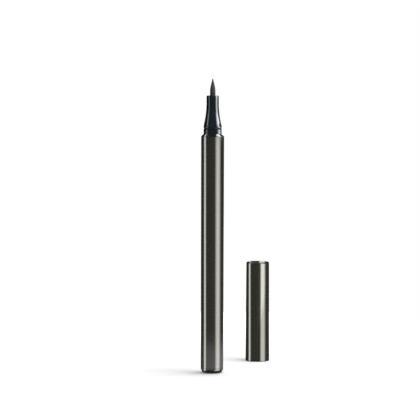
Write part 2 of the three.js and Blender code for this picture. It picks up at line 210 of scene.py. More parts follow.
class FinishColours(bpy.types.PropertyGroup):
    """Colours of the finishes, in linear light."""

    lacquer: colour("Lacquer", "Dark olive-brown gloss lacquer", 0.0252, 0.0245, 0.0146)
    lacquer_flake: colour("Lacquer flake", "Paler flake in the lacquer", 0.0302, 0.0293, 0.0196)
    black_gloss: colour("Gloss black", "Moulded gloss black", 0.0053, 0.0112, 0.0148)
    felt_dark: colour("Felt, dark", "Ink-stained felt between its fibres", 0.05, 0.05, 0.05)
    felt_light: colour("Felt, light", "Ink-stained felt along its fibres", 0.125, 0.125, 0.124)
    fibre_dark: colour("Feed fibre, dark", "Feed rod between its fibres", 0.34, 0.31, 0.26)
    fibre_light: colour("Feed fibre, light", "Feed rod along its fibres", 0.56, 0.52, 0.45)
    natural: colour("Natural plastic", "Uncoloured moulded plastic", 0.70, 0.68, 0.61)
    satin_black: colour("Satin black", "Satin black moulded plastic", 0.022, 0.022, 0.023)
    seal: colour("Seal", "Soft dark grey seal", 0.042, 0.042, 0.044)
    steel: colour("Steel", "Bright drawn steel", 0.58, 0.585, 0.59)


class StageSettings(bpy.types.PropertyGroup):
    """The camera's place and the studio round the pen."""

    lens: amount("Lens", "Focal length in millimetres", 196.9)
    distance: length("Distance", "From the camera to the point that it looks at", 1000)
    elevation: angle("Elevation", "How far the camera looks down", 4.384)
    roll: angle("Roll", "How far the camera leans", 0.152)
    aim_x: FloatProperty(
        name="Aim across", description="Point that the camera looks at", default=-1.0585 * MM, unit="LENGTH"
    )
    aim_z: length("Aim height", "Height of the point that the camera looks at", 71.29)
    floor_radius: length("Floor radius", "Radius of the pale round floor", 220)
    floor_colour: colour("Floor", "Pale floor", 0.9, 0.9, 0.9)
    floor_lift: amount("Floor lift", "White that the floor adds to its own picture near the pen", 0.12)
    room_light: amount("Room light", "Even light from all round", 0.25)
    key_power: power("Key", "Lamp overhead, a little to the right", 4.4)
    back_power: power("Back", "Lamp overhead, a little behind", 4.0)
    side_power: power("Side", "Soft box on the right", 1.7)
    front_power: power("Front", "Soft box in front, on the right", 4.0)
    body_tone: colour("Body light", "Tone of the light that the lacquer mirrors", 1.0, 0.99, 0.93)
    nozzle_tone: colour("Nozzle light", "Tone of the light that the nozzle mirrors", 0.94, 0.98, 1.0)
    foot_tone: colour("Foot light", "Tone of the light that the pen's foot mirrors", 0.97, 0.91, 1.0)
    body_glow: amount("Body glow", "Brightness of the panels that the lacquer mirrors", 6.5)
    nozzle_glow: amount("Nozzle glow", "Brightness of the panels that the nozzle mirrors", 8.125)
    foot_glow: amount("Foot glow", "Brightness of the panel that the pen's foot mirrors", 0.7)
    wall_glow: amount("Wall glow", "Brightness of the dark walls that the gloss mirrors", 0.05)


# Outlines of radius and height


def bezier(start, start_handle, end_handle, end):
    """Points of a smooth curve between two ends, pulled by two handles."""
    corners = (start, start_handle, end_handle, end)
    points = []
    for i in range(CURVE_STEPS + 1):
        t = i / CURVE_STEPS
        weights = ((1 - t) ** 3, 3 * t * (1 - t) ** 2, 3 * t * t * (1 - t), t**3)
        points.append(tuple(sum(w * c[axis] for w, c in zip(weights, corners)) for axis in (0, 1)))
    return points


def rounded(corners, closed):
    """Points through corners of (radius, height) or (radius, height, round), with each round as an arc."""
    points = []
    for i, (radius, height, *rounds) in enumerate(corners):
        here = Vector((radius, height))
        if not rounds or not closed and i in (0, len(corners) - 1):
            points.append(here)
            continue
        before = (Vector(corners[i - 1][:2]) - here).normalized()
        after = (Vector(corners[(i + 1) % len(corners)][:2]) - here).normalized()
        half = before.angle(after) / 2
        middle = here + (before + after).normalized() * rounds[0] / math.sin(half)
        spoke = here + before * rounds[0] / math.tan(half) - middle
        turn = math.copysign(math.pi - 2 * half, after.cross(before))
        steps = max(2, math.ceil(abs(turn) / ARC_STEP))
        points += [middle + Matrix.Rotation(turn * k / steps, 2) @ spoke for k in range(steps + 1)]
    return points


def quarter_oval(radius, height, reach, rise):
    """A rounded bottom edge, from its flat out and up to the side at that radius."""
    steps = math.ceil(math.pi / 2 / ARC_STEP) * 2
    turns = [math.pi / 2 * k / steps for k in range(steps + 1)]
    return [(radius - reach * (1 - math.sin(a)), height + rise * (1 - math.cos(a))) for a in turns]


def spaced(outline, step):
    """The same outline with no stretch longer than step."""
    points = [Vector(outline[0])]
    for end in outline[1:]:
        start = points[-1].copy()
        stretch = Vector(end) - start
        count = max(1, math.ceil(stretch.length / step))
        points += [start + stretch * (k + 1) / count for k in range(count)]
    return points


def pressed_side(sizes, low, high):
    """Outline of a pressed end between two levels, with one low crush rib in its middle."""
    middle = (low + high) / 2
    return [
        (sizes.press_radius, low),
        (sizes.press_radius, middle - sizes.press_rib_width / 2),
        (sizes.press_radius + sizes.press_rib, middle),
        (sizes.press_radius, middle + sizes.press_rib_width / 2),
        (sizes.press_radius, high),
    ]


# Meshes


def even_angles(sides=LATHE_SIDES):
    """Angles spaced evenly round an axis."""
    return [2 * math.pi * i / sides for i in range(sides)]


def notched_angles(count, half_width, sides=LATHE_SIDES):
    """Even angles with a close pair of angles at each side of some evenly spaced notches or ribs."""
    wall = half_width / NOTCH_TO_WALL
    angles = even_angles(sides)
    for i in range(count):
        middle = 2 * math.pi * i / count
        for side in (-half_width, half_width):
            angles += [middle + side - wall, middle + side + wall]
    return sorted(a % (2 * math.pi) for a in angles)


def in_notch(turn, count, half_width):
    """True where an angle lies in one of some evenly spaced notches or ribs."""
    pitch = 2 * math.pi / count
    return abs((turn + pitch / 2) % pitch - pitch / 2) < half_width


def mesh_of(name, shape):
    """A mesh from a bmesh, with doubled points merged and faces pointing out."""
    bmesh.ops.remove_doubles(shape, verts=shape.verts, dist=SAME_POINT)
    bmesh.ops.dissolve_degenerate(shape, edges=shape.edges, dist=SAME_POINT)
    bmesh.ops.recalc_face_normals(shape, faces=shape.faces)
    mesh = bpy.data.meshes.new(name)
    shape.to_mesh(mesh)
    shape.free()
    return mesh


def turned(name, corners, closed=False, centre=(0, 0), angles=None, reshape=None):
    """A mesh turned about an upright axis from the corners of its outline.

    A closed outline runs back to its first corner. reshape gives the radius at a radius, height and angle.
    """
    angles = angles or even_angles()
    shape = bmesh.new()
    rings = []
    for radius, height in rounded(corners, closed):
        if radius < SAME_POINT:
            rings.append([shape.verts.new((*centre, height))])
            continue
        ring = []
        for turn in angles:
            reach = reshape(radius, height, turn) if reshape else radius
            spot = (centre[0] + reach * math.cos(turn), centre[1] + reach * math.sin(turn), height)
            ring.append(shape.verts.new(spot))
        rings.append(ring)
    following = rings[1:] + rings[:1] if closed else rings[1:]
    for low, high in zip(rings, following):
        for i in range(len(angles)):
            j = (i + 1) % len(angles)
            face = (low[i % len(low)], low[j % len(low)], high[j % len(high)], high[i % len(high)])
            shape.faces.new(dict.fromkeys(face))
    return mesh_of(name, shape)


def axis_of(node):
    """Where a turned CAD node's upright axis stands."""
    low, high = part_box(node)
    return (low.x + high.x) / 2, (low.y + high.y) / 2


def span_of(node):
    """Lowest level, highest level and outer radius of a turned CAD node."""
    low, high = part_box(node)
    return low.z, high.z, (high.x - low.x) / 2


def add_piece(name, mesh, body, node, slot):
    """Adds a finished piece that stands for a CAD node and moves with its body."""
    mesh.polygons.foreach_set("use_smooth", [True] * len(mesh.polygons))
    mesh.set_sharp_from_angle(angle=SHARP_ANGLE)
    mesh.materials.append(finished(slot))
    made = bpy.data.objects.new(name, mesh)
    bpy.context.scene.collection.objects.link(made)
    made.modifiers.new("Even shading", "WEIGHTED_NORMAL").keep_sharp = True
    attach(made, body)
    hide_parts(node)
    return made


# Shader nodes

# Most of a noise lies between these
NOISE_LOW = 0.3
NOISE_HIGH = 0.7


def fill(tree, node, inputs):
    """Sets a node's inputs to values, or links the outputs of other nodes to them."""
    for key, value in inputs.items():
        if isinstance(value, bpy.types.NodeSocket):
            tree.links.new(value, node.inputs[key])
        else:
            node.inputs[key].default_value = value


def add_node(tree, kind, inputs=None, **settings):
    """Adds a shader node with its settings, and fills its inputs."""
    made = tree.nodes.new(kind)
    for key, value in settings.items():
        setattr(made, key, value)
    fill(tree, made, inputs or {})
    return made


def calculate(tree, operation, *values):
    """The result of one step of arithmetic on numbers or outputs."""
    return add_node(tree, "ShaderNodeMath", dict(enumerate(values)), operation=operation).outputs[0]


def spread(tree, value, low, high, start=NOISE_LOW, end=NOISE_HIGH):
    """A number that goes from low to high as value goes from start to end."""
    ends = {"From Min": start, "From Max": end, "To Min": low, "To Max": high}
    return add_node(tree, "ShaderNodeMapRange", {"Value": value, **ends}).outputs["Result"]


def shade(tree, fac, low, high, start=NOISE_LOW, end=NOISE_HIGH):
    """A colour that goes from low to high as fac goes from start to end."""
    ramp = add_node(tree, "ShaderNodeValToRGB", {"Fac": fac})
    stops = ramp.color_ramp.elements
    stops[0].position, stops[0].color = start, (*low, 1)
    stops[1].position, stops[1].color = end, (*high, 1)
    return ramp.outputs["Color"]


def object_coordinates(tree, stretch=(1, 1, 1)):
    """The piece's own coordinates in metres, divided by stretch along each axis."""
    place = add_node(tree, "ShaderNodeTexCoord").outputs["Object"]
    scale = tuple(1 / s for s in stretch)
    return add_node(tree, "ShaderNodeMapping", {"Vector": place, "Scale": scale}).outputs["Vector"]


def grain(tree, place, size, detail=3.0):
    """Noise whose lumps are about size across, in metres."""
    inputs = {"Vector": place, "Scale": 1 / size, "Detail": detail}
    return add_node(tree, "ShaderNodeTexNoise", inputs).outputs["Fac"]


def relief(tree, height, depth, strength=1.0):
    """A normal that follows height, at a depth in metres."""
    inputs = {"Height": height, "Distance": depth, "Strength": strength}
    return add_node(tree, "ShaderNodeBump", inputs).outputs["Normal"]


def toned(tone, factor):
    """The same colour, paler or darker by a factor."""
    return tuple(factor * c for c in tone)


# Finishes, each as the sockets of its shader

# The nozzle's groove, rougher and with its shine cut as painted shade: how far it reaches over its lips, how
# much rougher it is, and what shine it keeps
GROOVE_BLEND = 0.06 * MM
GROOVE_MATT = 0.6
GROOVE_SHADED_SHINE = 0.15


def lacquer(tree, colours):
    """Dark gloss lacquer: fine flake under a clear coat that lies almost flat."""
    place = object_coordinates(tree)
    flakes = add_node(tree, "ShaderNodeTexVoronoi", {"Vector": place, "Scale": 1 / (0.16 * MM)})
    clouds = grain(tree, place, 6 * MM)
    ripple = grain(tree, place, 1.4 * MM, 1.0)
    return {
        "Base Color": shade(tree, flakes.outputs["Color"], colours.lacquer, colours.lacquer_flake, 0.2, 0.9),
        "Roughness": spread(tree, clouds, 0.07, 0.11),
        "IOR": 1.5,
        "Coat Weight": 1.0,
        "Coat Roughness": 0.03,
        "Coat IOR": 1.5,
        "Normal": relief(tree, ripple, 0.0004 * MM),
    }


def groove_level(sizes):
    """Height of the middle of the nozzle's snap groove."""
    seat = span_of("barrel")[1] + sizes.flange_height + sizes.chamfer_height
    return seat + sizes.seat_length - sizes.groove_below


def black_gloss(tree, colours):
    """Gloss black moulding, with the faint drag marks of a polished mould. Its snap groove is rougher, and
    its lowered shine and missing coat darken it as painted shade.
    """
    sizes = bpy.context.scene.pen_sizes
    place = object_coordinates(tree)
    drag = grain(tree, object_coordinates(tree, (0.12, 0.12, 2.5)), MM)
    level = add_node(tree, "ShaderNodeSeparateXYZ", {0: place}).outputs["Z"]
    reach = sizes.groove_width / 2 + GROOVE_BLEND
    groove = calculate(tree, "COMPARE", level, groove_level(sizes), reach)
    paler = toned(colours.black_gloss, 1.35)
    return {
        "Base Color": shade(tree, grain(tree, place, 2 * MM), colours.black_gloss, paler),
        "Roughness": calculate(tree, "MULTIPLY_ADD", groove, GROOVE_MATT, spread(tree, drag, 0.07, 0.12)),
        "IOR": 1.5,
        # In the groove the shine drops and the coat goes, which darkens its reflections as painted shade
        "Specular IOR Level": spread(tree, groove, 0.5, GROOVE_SHADED_SHINE, 0, 1),
        "Coat Weight": calculate(tree, "SUBTRACT", 1.0, groove),
        "Coat Roughness": 0.03,
        "Coat IOR": 1.5,
        "Normal": relief(tree, drag, 0.0006 * MM),
    }


def felt(tree, colours):
    """Pressed fibre felt stained with ink: streaks along the fibres and a soft nap."""
    streaks = grain(tree, object_coordinates(tree, (0.07, 0.07, 1.2)), MM, 4.0)
    nap = grain(tree, object_coordinates(tree), 0.06 * MM, 2.0)
    tangle = calculate(tree, "MULTIPLY", streaks, nap)
    return {
        "Base Color": shade(tree, streaks, colours.felt_dark, colours.felt_light),
        "Roughness": spread(tree, nap, 0.8, 0.95),
        "IOR": 1.4,
        "Specular IOR Level": 0.25,
        "Sheen Weight": 0.05,
        "Normal": relief(tree, tangle, 0.03 * MM, 0.7),
    }


def feed_fibre(tree, colours):
    """Bundled feed fibre, pale, with long streaks."""
    streaks = grain(tree, object_coordinates(tree, (0.06, 0.06, 3.0)), MM, 4.0)
    return {
        "Base Color": shade(tree, streaks, colours.fibre_dark, colours.fibre_light),
        "Roughness": spread(tree, streaks, 0.95, 0.75),
        "IOR": 1.4,
        "Specular IOR Level": 0.3,
        "Sheen Weight": 0.15,
        "Normal": relief(tree, streaks, 0.02 * MM, 0.8),
    }


def natural_plastic(tree, colours):
    """Uncoloured moulded plastic, a little cloudy, with a fine spark-eroded skin."""
    place = object_coordinates(tree)
    skin = grain(tree, place, 0.12 * MM, 2.0)
    warmer = tuple(c * k for c, k in zip(colours.natural, (0.93, 0.91, 0.86)))
    return {
        "Base Color": shade(tree, grain(tree, place, 3 * MM), warmer, colours.natural),
        "Roughness": spread(tree, skin, 0.36, 0.5),
        "IOR": 1.49,
        "Coat Weight": 0.1,
        "Coat Roughness": 0.3,
        "Normal": relief(tree, skin, 0.002 * MM),
    }


def satin_black(tree, colours):
    """Satin black moulding with a fine spark-eroded skin."""
    place = object_coordinates(tree)
    skin = grain(tree, place, 0.1 * MM, 2.0)
    paler = toned(colours.satin_black, 1.4)
    return {
        "Base Color": shade(tree, grain(tree, place, 1.5 * MM), colours.satin_black, paler),
        "Roughness": spread(tree, skin, 0.38, 0.52),
        "IOR": 1.5,
        "Normal": relief(tree, skin, 0.003 * MM),
    }


def soft_seal(tree, colours):
    """Soft dark seal with a dull, slightly dusty skin."""
    place = object_coordinates(tree)
    dust = grain(tree, place, 0.25 * MM)
    return {
        "Base Color": shade(tree, dust, colours.seal, toned(colours.seal, 1.5)),
        "Roughness": spread(tree, dust, 0.62, 0.78),
        "IOR": 1.45,
        "Specular IOR Level": 0.35,
        "Sheen Weight": 0.1,
        "Normal": relief(tree, grain(tree, place, 0.08 * MM), 0.004 * MM),
    }


def steel(tree, colours):
    """Bright steel with fine drawing and lapping marks."""
    clouds = grain(tree, object_coordinates(tree), 0.8 * MM)
    marks = grain(tree, object_coordinates(tree, (1.0, 0.15, 0.15)), 0.4 * MM, 4.0)
    return {
        "Base Color": shade(tree, clouds, toned(colours.steel, 0.8), colours.steel),
        "Metallic": 1.0,
        "Roughness": spread(tree, marks, 0.16, 0.3),
        "Normal": relief(tree, marks, 0.001 * MM),
    }


# Name and sockets of the finish in each slot
FINISHES = {
    "lacquer": ("Flake lacquer", lacquer),
    "black_gloss": ("Gloss black", black_gloss),
    "felt": ("Inked felt", felt),
    "fibre": ("Feed fibre", feed_fibre),
    "natural_plastic": ("Natural moulding", natural_plastic),
    "black_plastic": ("Satin black", satin_black),
    "soft_seal": ("Seal skin", soft_seal),
    "steel": ("Drawn steel", steel),
}


def finished(slot):
    """The material in a slot, made when a piece first asks for it."""
    name, sockets = FINISHES[slot]
    material = bpy.data.materials.get(name)
    if material is None:
        material = bpy.data.materials.new(name)
        material.use_nodes = True
        tree = material.node_tree
        fill(tree, tree.nodes["Principled BSDF"], sockets(tree, bpy.context.scene.pen_finishes))
    return material


# Pieces of the pen


class MakeBarrel(bpy.types.Operator):
    """Builds the lacquered barrel, a tube with a slight draft"""

    bl_idname = "eyebrow_pen.make_barrel"
    bl_label = "Barrel"

    def execute(self, context):
        sizes = context.scene.pen_sizes
        low, high, front = span_of("barrel")
        rear = front - sizes.barrel_draft
        bore, edge = sizes.barrel_bore, sizes.edge_round
        corners = [(bore, low, edge), (rear, low, edge), (front, high, edge), (bore, high, edge)]
        mesh = turned("barrel_tube", corners, closed=True)
        add_piece("lacquered_barrel", mesh, "pen", "barrel", "lacquer")
        return {"FINISHED"}


class MakeEndPlug(bpy.types.Operator):
    """Builds the end plug, whose rounded head is the pen's foot"""

    bl_idname = "eyebrow_pen.make_end_plug"
    bl_label = "End plug"

    def execute(self, context):
        sizes = context.scene.pen_sizes
        low, high, head = span_of("end_plug")
        seam = low + sizes.foot_height
        gate_round = sizes.gate_depth / 2
        corners = [
            (0, low + sizes.gate_depth),
            (sizes.gate_radius, low + sizes.gate_depth, gate_round),
            (sizes.gate_radius + sizes.gate_depth, low, gate_round),
            *quarter_oval(head, low, sizes.foot_reach, sizes.foot_rise),
            (head, seam, sizes.edge_round),
            *pressed_side(sizes, seam, high - sizes.press_bevel),
            (sizes.press_radius - sizes.press_bevel / 2, high, sizes.press_rib),
            (sizes.pocket_radius, high, sizes.edge_round),
            (sizes.pocket_radius, low + sizes.plug_floor, sizes.edge_round),
            (0, low + sizes.plug_floor),
        ]
        add_piece("rounded_foot_plug", turned("plug", corners), "pen", "end_plug", "lacquer")
        return {"FINISHED"}


class MakeMixingBalls(bpy.types.Operator):
    """Builds the two loose steel balls that stir the ink"""

    bl_idname = "eyebrow_pen.make_mixing_balls"
    bl_label = "Mixing balls"

    rings: whole("Rings", "How finely each face of the ball is divided", 20)

    def execute(self, context):
        for number, body in ((1, "first_ball"), (2, "second_ball")):
            low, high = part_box(f"mixing_ball_{number}")
            middle = (low + high) / 2
            shape = bmesh.new()
            bmesh.ops.create_cube(shape, size=2)
            bmesh.ops.subdivide_edges(shape, edges=shape.edges, cuts=self.rings, use_grid_fill=True)
            for corner in shape.verts:
                corner.co = middle + corner.co.normalized() * (high.z - low.z) / 2
            mesh = mesh_of("ball", shape)
            add_piece(f"stirring_ball_{number}", mesh, body, f"mixing_ball_{number}", "steel")
        return {"FINISHED"}


class MakeNozzle(bpy.types.Operator):
    """Builds the gloss black nozzle: flange, chamfer, seat with its snap groove, flare and nose"""

    bl_idname = "eyebrow_pen.make_nozzle"
    bl_label = "Nozzle"

    def execute(self, context):
        sizes = context.scene.pen_sizes
        rear, face, flange = span_of("nozzle")
        front_of_barrel = span_of("barrel")[1]
        chamfer = front_of_barrel + sizes.flange_height
        seat = chamfer + sizes.chamfer_height
        seat_top = seat + sizes.seat_length
        groove = groove_level(sizes)
        floor = sizes.seat_radius - sizes.groove_depth
        edge = sizes.nozzle_edge
        flare_top = seat_top + sizes.flare_length
        flare = bezier(
            (sizes.seat_radius, seat_top),
            (sizes.seat_radius, seat_top + sizes.flare_shoulder),
            (sizes.nose_rear + sizes.flare_swell, flare_top - sizes.flare_hollow),
            (sizes.nose_rear, flare_top),
        )
        guide = face - sizes.nib_guide
        corners = [
            (sizes.socket_radius, rear),
            (sizes.press_radius - sizes.press_bevel / 2, rear),
            *pressed_side(sizes, rear + sizes.press_bevel, front_of_barrel),
            (flange, front_of_barrel, edge),
            (flange, chamfer, edge),
            (sizes.seat_radius, seat, 2 * edge),
            (sizes.seat_radius, groove - sizes.groove_width / 2, sizes.groove_lip),
            (floor, groove, edge),
            (sizes.seat_radius, groove + sizes.groove_width / 2, sizes.groove_lip),
            *flare,
            (sizes.nose_front, face, sizes.nose_round),
            (sizes.nib_bore, face, edge),
            (sizes.nib_bore, guide),
            (sizes.holder_bore, guide),
            (sizes.holder_bore, rear + sizes.socket_depth),
            (sizes.socket_radius, rear + sizes.socket_depth),
        ]
        mesh = turned("nozzle_moulding", corners, closed=True)
        add_piece("gloss_black_nozzle", mesh, "pen", "nozzle", "black_gloss")
        return {"FINISHED"}


def fibre_grain(depth, width, stretch):
    """A reshape that lowers a surface between fibres that run along the axis."""

    def reshape(radius, height, turn):
        around = Vector((math.cos(turn), math.sin(turn), 0)) * radius / width
        hollow = 0.5 - 0.5 * noise.noise(around + Vector((0, 0, height / (width * stretch))))
        return radius - depth * hollow

    return reshape


class MakeNib(bpy.types.Operator):
    """Builds the felt nib, a fibre rod ground to a point"""

    bl_idname = "eyebrow_pen.make_nib"
    bl_label = "Nib"

    def execute(self, context):
        sizes = context.scene.pen_sizes
        rear, tip, radius = span_of("nib")
        start = span_of("nozzle")[1] + sizes.nib_straight
        lean = math.atan2(sizes.nib_point_width - sizes.nib_tip_round, sizes.nib_point_height)
        ball = sizes.nib_tip_round / math.cos(lean)
        point = tip - ball + ball * math.sin(lean)
        side = bezier(
            (radius, start),
            (radius, start + sizes.nib_shoulder),
            (sizes.nib_point_width, point - sizes.nib_point_height),
            (sizes.nib_tip_round, point),
        )
        turns = [lean + (math.pi / 2 - lean) * k / TIP_STEPS for k in range(1, TIP_STEPS)]
        dome = [(ball * math.cos(a), tip - ball + ball * math.sin(a)) for a in turns]
        corners = spaced([(0, rear), (radius, rear), *side, *dome, (0, tip)], NIB_STEP)
        reshape = fibre_grain(sizes.nib_grain, *NIB_FIBRE)
        mesh = turned("nib_rod", corners, angles=even_angles(SMALL_SIDES), reshape=reshape)
        add_piece("felt_nib", mesh, "pen", "nib", "felt")
        return {"FINISHED"}


class MakeNibHolder(bpy.types.Operator):
    """Builds the nib holder, a sleeve with air grooves along its outside"""

    bl_idname = "eyebrow_pen.make_nib_holder"
    bl_label = "Nib holder"

    def execute(self, context):
        sizes = context.scene.pen_sizes
        low, high, outside = span_of("nib_holder")
        inside = sizes.holder_inside
        edge = sizes.holder_edge
        corners = [(inside, low, edge), (outside, low, edge), (outside, high, edge), (inside, high, edge)]
        floor = outside - sizes.holder_groove_depth
        half = math.asin(sizes.holder_groove_width / 2 / outside)

        def grooved(radius, height, turn):
            return min(radius, floor) if in_notch(turn, sizes.holder_grooves, half) else radius

        angles = notched_angles(sizes.holder_grooves, half, SMALL_SIDES)
        mesh = turned("nib_sleeve", corners, closed=True, angles=angles, reshape=grooved)
        add_piece("grooved_nib_holder", mesh, "pen", "nib_holder", "black_plastic")
        return {"FINISHED"}


class MakeFeedRod(bpy.types.Operator):
    """Builds the fibre rod that brings ink to the nib"""

    bl_idname = "eyebrow_pen.make_feed_rod"
    bl_label = "Feed rod"

    def execute(self, context):
        sizes = context.scene.pen_sizes
        low, high, radius = span_of("feed_rod")
        corners = spaced([(0, low), (radius, low), (radius, high), (0, high)], ROD_STEP)
        reshape = fibre_grain(sizes.rod_grain, *ROD_FIBRE)
        mesh = turned("feed_bundle", corners, angles=even_angles(ROD_SIDES), reshape=reshape)
        add_piece("fibre_feed_rod", mesh, "pen", "feed_rod", "fibre")
        return {"FINISHED"}


class MakeCollector(bpy.types.Operator):
    """Builds the finned collector that holds surplus ink"""

    bl_idname = "eyebrow_pen.make_collector"
    bl_label = "Collector"

    def execute(self, context):
        sizes = context.scene.pen_sizes
        low, high, fin = span_of("collector")
        neck = high - sizes.neck_length
        core, edge = sizes.core_radius, sizes.fin_round
        corners = [(sizes.rod_bore, low), (core, low, edge)]
        for i in reversed(range(sizes.fin_count)):
            top = neck - i * (sizes.fin_thickness + sizes.fin_spacing)
            bottom = top - sizes.fin_thickness
            inner = core if i else sizes.neck_radius
            corners += [(core, bottom, edge), (fin, bottom, edge), (fin, top, edge), (inner, top, edge)]
        corners += [(sizes.neck_radius, high, edge), (sizes.rod_bore, high)]
        half = math.asin(sizes.air_slot / 2 / fin)
        slot_top = neck - sizes.fin_thickness - sizes.fin_spacing / 2

        def slotted(radius, height, turn):
            cut = height < slot_top and in_notch(turn, 1, half)
            return min(radius, core) if cut else radius

        angles = notched_angles(1, half, SMALL_SIDES)
        mesh = turned("collector_moulding", corners, closed=True, angles=angles, reshape=slotted)
        add_piece("finned_collector", mesh, "pen", "collector", "natural_plastic")
        return {"FINISHED"}


# Pieces of the cap


class MakeCapShell(bpy.types.Operator):
    """Builds the lacquered cap, open at its mouth and closed at its top"""

    bl_idname = "eyebrow_pen.make_cap_shell"
    bl_label = "Cap shell"

    def execute(self, context):
        sizes = context.scene.cap_sizes
        low, high, mouth = span_of("cap_shell")
        ceiling = high - sizes.end_wall
        peg_end = ceiling - sizes.peg_height
        edge = sizes.rim_round / 2
        corners = [
            (0, peg_end),
            (sizes.peg_radius, peg_end, edge),
            (sizes.peg_radius, ceiling, edge),
            (sizes.bore, ceiling, edge),
            (sizes.bore, low, edge),
            (mouth, low, sizes.rim_round),
            (mouth - sizes.taper, high, sizes.end_round),
            (0, high),
        ]
        mesh = turned("cap_tube", corners, centre=axis_of("cap_shell"))
        add_piece("lacquered_cap", mesh, "cap", "cap_shell", "lacquer")
        return {"FINISHED"}


class MakeCapLiner(bpy.types.Operator):
    """Builds the liner in the cap, with its snap bead and the lip that keeps the inner cap in"""

    bl_idname = "eyebrow_pen.make_cap_liner"
    bl_label = "Cap liner"

    def execute(self, context):
        sizes = context.scene.cap_sizes
        low, high, outside = span_of("cap_liner")
        inside = outside - sizes.liner_wall
        lip = high - sizes.lip_height
        half_bead = sizes.bead_width / 2
        edge = sizes.bead_height / 2
        corners = [
            (inside, sizes.bead_level - half_bead, edge),
            (inside, low, 2 * edge),
            (outside, low, edge),
            (outside, high, edge),
            (inside - sizes.lip_reach, high, 2 * edge),
            (inside - sizes.lip_reach, lip, 2 * edge),
            (inside, lip, edge),
            (inside, sizes.bead_level + half_bead, edge),
            (inside - sizes.bead_height, sizes.bead_level, 2 * edge),
        ]
        mesh = turned("liner_sleeve", corners, closed=True, centre=axis_of("cap_liner"))
        add_piece("cap_snap_liner", mesh, "cap", "cap_liner", "black_plastic")
        return {"FINISHED"}


class MakeInnerCap(bpy.types.Operator):
    """Builds the ribbed inner cap that covers the nib, and its soft seal"""

    bl_idname = "eyebrow_pen.make_inner_cap"
    bl_label = "Inner cap and seal"

    def execute(self, context):
        sizes = context.scene.cap_sizes
        low, high, guide = span_of("inner_cap")
        centre = axis_of("inner_cap")
        seal_low, seal_top, seal_outside = span_of("nib_seal")
        end = high - sizes.peg_height
        wall = sizes.cup_mouth + sizes.cup_wall
        flange = low + sizes.cup_flange
        edge = sizes.cup_edge
        corners = [
            (0, end - sizes.cup_end),
            (sizes.nib_room, end - sizes.cup_end, edge),
            (sizes.nib_room, seal_top, edge),
            (sizes.cup_mouth, seal_top, edge),
            (sizes.cup_mouth, low, edge),
            (guide, low, edge),
            (guide, flange, edge),
            (wall, flange),
            (wall, end, edge),
            (sizes.peg_radius, end, edge),
            (sizes.peg_radius, high, edge),
            (0, high),
        ]
        half = math.asin(sizes.cup_rib_width / 2 / guide)

        def ribbed(radius, height, turn):
            on_wall = radius > wall - 2 * edge and height > low + 2 * edge
            on_rib = on_wall and in_notch(turn, sizes.cup_ribs, half)
            return guide - (wall - min(radius, wall)) if on_rib else radius

        angles = notched_angles(sizes.cup_ribs, half)
        cup = turned("cup", corners, centre=centre, angles=angles, reshape=ribbed)
        add_piece("ribbed_nib_cup", cup, "nib_cover", "inner_cap", "natural_plastic")

        corners = [
            (sizes.nib_room, seal_low, sizes.seal_round),
            (seal_outside, seal_low, sizes.seal_round),
            (seal_outside, seal_top, edge),
            (sizes.nib_room, seal_top, edge),
        ]
        seal = turned("seal_ring", corners, closed=True, centre=centre)
        add_piece("soft_nib_seal", seal, "nib_cover", "nib_seal", "soft_seal")
        return {"FINISHED"}


class MakeSpring(bpy.types.Operator):
    """Builds the coil spring that presses the inner cap on the nozzle"""

    bl_idname = "eyebrow_pen.make_spring"
    bl_label = "Spring"

    wire_sides: whole("Wire sides", "Sides of the wire's section", 14)
    turn_steps: whole("Steps", "Steps in each turn", 40)

    def execute(self, context):
        sizes = context.scene.cap_sizes
        low, high, _ = span_of("inner_cap_spring")
        across, back = axis_of("cap_shell")
        wire = sizes.wire / 2
        climbing = sizes.spring_turns - 2 * sizes.flat_turns
        shape = bmesh.new()
        sections = []
        for i in range(sizes.spring_turns * self.turn_steps + 1):
            turns = i / self.turn_steps
            climbed = min(1, max(0, (turns - sizes.flat_turns) / climbing))
            height = low + wire + climbed * (high - low - 2 * wire)
            out = Vector((math.cos(2 * math.pi * turns), math.sin(2 * math.pi * turns), 0))
            middle = Vector((across, back, height)) + out * sizes.spring_radius
            section = []
            for turn in even_angles(self.wire_sides):
                spoke = out * math.cos(turn) + Vector((0, 0, math.sin(turn)))
                section.append(shape.verts.new(middle + wire * spoke))
            sections.append(section)
        for before, after in zip(sections, sections[1:]):
            for k in range(self.wire_sides):
                following = (k + 1) % self.wire_sides
                shape.faces.new((before[k], before[following], after[following], after[k]))
        shape.faces.new(sections[0])
        shape.faces.new(sections[-1])
        coil = add_piece("coil_spring", mesh_of("coil", shape), "cap", "inner_cap_spring", "steel")
        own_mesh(coil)
        return {"FINISHED"}


# Stage

# Bearing and elevation of each lamp in degrees, and its distance, width and height in metres
LAMPS = {
    "key": (98, 82, 1.2, 0.26, 0.26),
    "back": (172, 85.5, 1.2, 0.16, 0.16),
    "side": (92, 62, 1.0, 0.7, 0.7),
    "front": (62, 18, 1.0, 1.0, 0.6),
}

# Lowest and highest levels of the panels that the gloss mirrors, in metres
LOW_LEVELS = (-1.2, -0.235)
BODY_LEVELS = (-0.235, 0.062)
NOZZLE_LEVELS = (0.1005, 0.1235)
FLARE_LEVELS = (0.1235, 0.163)
CHAMFER_LEVELS = (0.163, 0.3)
FOOT_LEVELS = (0, 0.02)
CAP_LEVELS = (-0.005, 0.06)

# Radii of the panels round the pen and the cap, and of the dark walls beyond them, in metres
BODY_RING = 1.1
NOZZLE_RING = 0.07
FOOT_RING = 0.016
CAP_RING = 0.014
GLEAM_RING = 0.0135
WALL_RADIUS = 1.9

# Bearing where the panels at the cap's sides meet the one behind it, in degrees
CAP_BACK = 150

# The black flag left of the nib: its radius and levels in metres, and its bearings in degrees
FLAG_RING = 0.012
FLAG_LEVELS = (0.116, 0.134)
FLAG_SIDE = (-165, -50)

